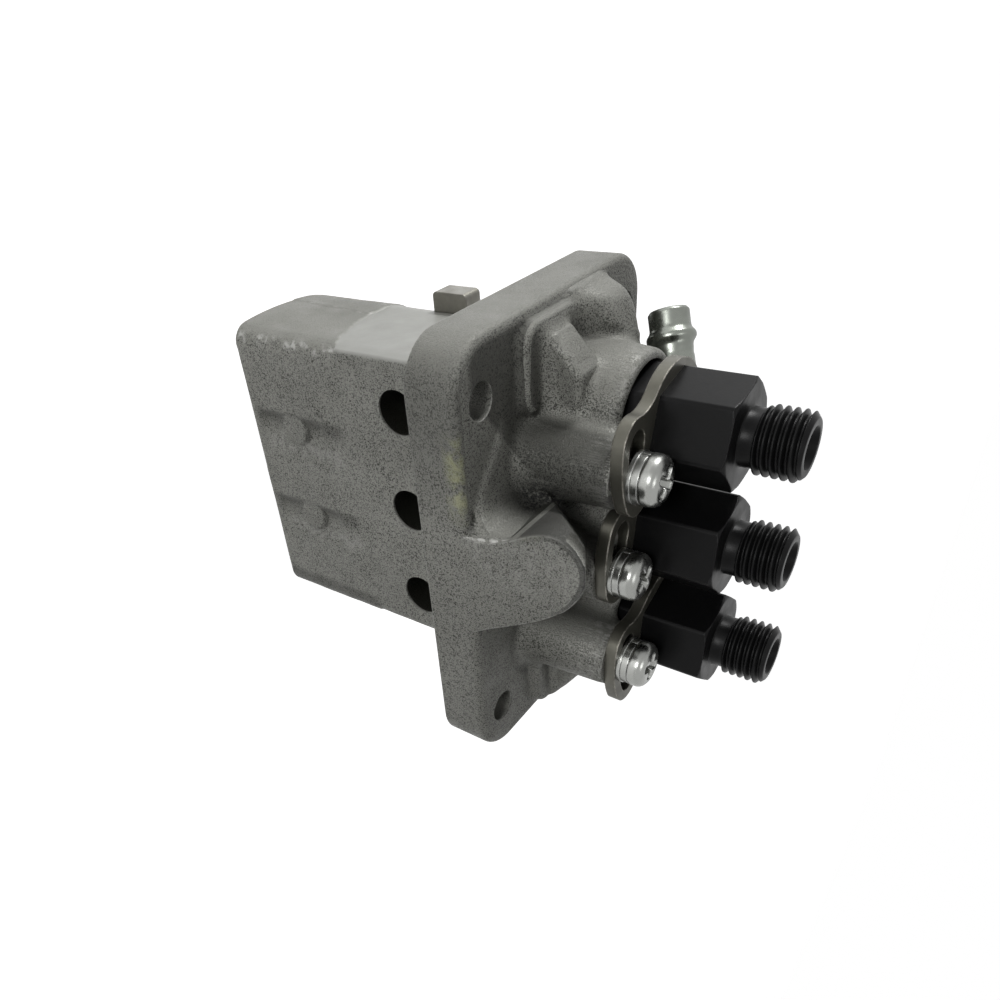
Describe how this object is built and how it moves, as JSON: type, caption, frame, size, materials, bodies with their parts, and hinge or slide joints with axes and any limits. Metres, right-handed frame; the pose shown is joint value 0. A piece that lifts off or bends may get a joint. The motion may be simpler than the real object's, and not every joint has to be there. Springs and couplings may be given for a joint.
{
  "type": "diesel injection pump",
  "caption": "Flange mounted inline diesel injection pump with hexagonal delivery valve holders, threaded outlets, slotted lock plates, a control rack, roller tappets and a bent fuel inlet pipe.",
  "frame": {"origin": "centre of the four flange bolt holes, on the flange's mounting face", "axes": "+Z along the plungers towards the outlets, X along the row of elements, -Y towards the side with the three windows"},
  "size_m": [0.088, 0.064, 0.1246],
  "materials": {
    "cast_aluminium": "sand cast, satin, stained with use",
    "black_oxide_steel": "blackened, satin, worn bright on the edges",
    "plate_steel": "pressed sheet, dull",
    "zinc_screws": "zinc plated, semi bright",
    "zinc_pipe": "zinc plated, dull",
    "ground_steel": "hardened and ground",
    "spring_steel": "oiled wire",
    "bush_bronze": "turned",
    "seal_rubber": "smooth",
    "gasket_copper": "flat, soft"
  },
  "bodies": {
    "pump_body": {"pump_housing": "cast_aluminium", "barrel_1": "ground_steel", "upper_spring_seat_1": "plate_steel", "plunger_spring_1": "spring_steel", "valve_seat_1": "ground_steel", "valve_spring_1": "spring_steel", "delivery_holder_1": "black_oxide_steel", "lock_plate_1": "plate_steel", "barrel_2": "ground_steel", "upper_spring_seat_2": "plate_steel", "plunger_spring_2": "spring_steel", "valve_seat_2": "ground_steel", "valve_spring_2": "spring_steel", "delivery_holder_2": "black_oxide_steel", "lock_plate_2": "plate_steel", "barrel_3": "ground_steel", "upper_spring_seat_3": "plate_steel", "plunger_spring_3": "spring_steel", "valve_seat_3": "ground_steel", "valve_spring_3": "spring_steel", "delivery_holder_3": "black_oxide_steel", "lock_plate_3": "plate_steel", "lock_plate_screws": "zinc_screws", "spring_washers": "zinc_screws", "plain_washers": "zinc_screws", "holder_o_rings": "seal_rubber", "valve_gaskets": "gasket_copper", "tappet_guide_pins": "ground_steel", "gallery_plug": "plate_steel", "inlet_pipe": "zinc_pipe"},
    "rack": {"control_rack": "ground_steel"},
    "sleeve_1": {"control_sleeve_1": "ground_steel"},
    "tappet_1": {"tappet_1": "ground_steel", "lower_spring_seat_1": "plate_steel", "roller_pin_1": "ground_steel"},
    "plunger_1": {"plunger_1": "ground_steel"},
    "roller_1": {"roller_1": "ground_steel", "roller_bush_1": "bush_bronze"},
    "valve_1": {"delivery_valve_1": "ground_steel"},
    "sleeve_2": {"control_sleeve_2": "ground_steel"},
    "tappet_2": {"tappet_2": "ground_steel", "lower_spring_seat_2": "plate_steel", "roller_pin_2": "ground_steel"},
    "plunger_2": {"plunger_2": "ground_steel"},
    "roller_2": {"roller_2": "ground_steel", "roller_bush_2": "bush_bronze"},
    "valve_2": {"delivery_valve_2": "ground_steel"},
    "sleeve_3": {"control_sleeve_3": "ground_steel"},
    "tappet_3": {"tappet_3": "ground_steel", "lower_spring_seat_3": "plate_steel", "roller_pin_3": "ground_steel"},
    "plunger_3": {"plunger_3": "ground_steel"},
    "roller_3": {"roller_3": "ground_steel", "roller_bush_3": "bush_bronze"},
    "valve_3": {"delivery_valve_3": "ground_steel"}
  },
  "joints": [
    {"name": "rack_slide", "type": "slide", "parent": "pump_body", "child": "rack", "axis": [1, 0, 0], "range_m": [-0.005, 0.005]},
    {"name": "sleeve_turn_1", "type": "hinge", "parent": "pump_body", "child": "sleeve_1", "pos_m": [-0.022, 0.0035, 0], "axis": [0, 0, 1], "range_deg": [-29.4, 29.4]},
    {"name": "tappet_lift_1", "type": "slide", "parent": "pump_body", "child": "tappet_1", "axis": [0, 0, 1], "range_m": [0, 0.007], "stiffness_N_per_m": 4000, "springref_m": -0.004, "deforming": ["plunger_spring_1"]},
    {"name": "plunger_turn_1", "type": "hinge", "parent": "tappet_1", "child": "plunger_1", "pos_m": [-0.022, 0.0035, 0], "axis": [0, 0, 1], "range_deg": [-29.4, 29.4]},
    {"name": "roller_spin_1", "type": "hinge", "parent": "tappet_1", "child": "roller_1", "pos_m": [-0.022, 0.0035, -0.0635], "axis": [1, 0, 0], "continuous": true},
    {"name": "valve_lift_1", "type": "slide", "parent": "pump_body", "child": "valve_1", "axis": [0, 0, 1], "range_m": [0, 0.0016], "stiffness_N_per_m": 1500, "springref_m": -0.002, "deforming": ["valve_spring_1"]},
    {"name": "sleeve_turn_2", "type": "hinge", "parent": "pump_body", "child": "sleeve_2", "pos_m": [0, 0.0035, 0], "axis": [0, 0, 1], "range_deg": [-29.4, 29.4]},
    {"name": "tappet_lift_2", "type": "slide", "parent": "pump_body", "child": "tappet_2", "axis": [0, 0, 1], "range_m": [0, 0.007], "stiffness_N_per_m": 4000, "springref_m": -0.004, "deforming": ["plunger_spring_2"]},
    {"name": "plunger_turn_2", "type": "hinge", "parent": "tappet_2", "child": "plunger_2", "pos_m": [0, 0.0035, 0], "axis": [0, 0, 1], "range_deg": [-29.4, 29.4]},
    {"name": "roller_spin_2", "type": "hinge", "parent": "tappet_2", "child": "roller_2", "pos_m": [0, 0.0035, -0.0635], "axis": [1, 0, 0], "continuous": true},
    {"name": "valve_lift_2", "type": "slide", "parent": "pump_body", "child": "valve_2", "axis": [0, 0, 1], "range_m": [0, 0.0016], "stiffness_N_per_m": 1500, "springref_m": -0.002, "deforming": ["valve_spring_2"]},
    {"name": "sleeve_turn_3", "type": "hinge", "parent": "pump_body", "child": "sleeve_3", "pos_m": [0.022, 0.0035, 0], "axis": [0, 0, 1], "range_deg": [-29.4, 29.4]},
    {"name": "tappet_lift_3", "type": "slide", "parent": "pump_body", "child": "tappet_3", "axis": [0, 0, 1], "range_m": [0, 0.007], "stiffness_N_per_m": 4000, "springref_m": -0.004, "deforming": ["plunger_spring_3"]},
    {"name": "plunger_turn_3", "type": "hinge", "parent": "tappet_3", "child": "plunger_3", "pos_m": [0.022, 0.0035, 0], "axis": [0, 0, 1], "range_deg": [-29.4, 29.4]},
    {"name": "roller_spin_3", "type": "hinge", "parent": "tappet_3", "child": "roller_3", "pos_m": [0.022, 0.0035, -0.0635], "axis": [1, 0, 0], "continuous": true},
    {"name": "valve_lift_3", "type": "slide", "parent": "pump_body", "child": "valve_3", "axis": [0, 0, 1], "range_m": [0, 0.0016], "stiffness_N_per_m": 1500, "springref_m": -0.002, "deforming": ["valve_spring_3"]}
  ],
  "couplings": [
    {"joint": "sleeve_turn_1", "follows": "rack_slide", "rad_per_m": -102.04},
    {"joint": "plunger_turn_1", "follows": "rack_slide", "rad_per_m": -102.04},
    {"joint": "sleeve_turn_2", "follows": "rack_slide", "rad_per_m": -102.04},
    {"joint": "plunger_turn_2", "follows": "rack_slide", "rad_per_m": -102.04},
    {"joint": "sleeve_turn_3", "follows": "rack_slide", "rad_per_m": -102.04},
    {"joint": "plunger_turn_3", "follows": "rack_slide", "rad_per_m": -102.04}
  ]
}
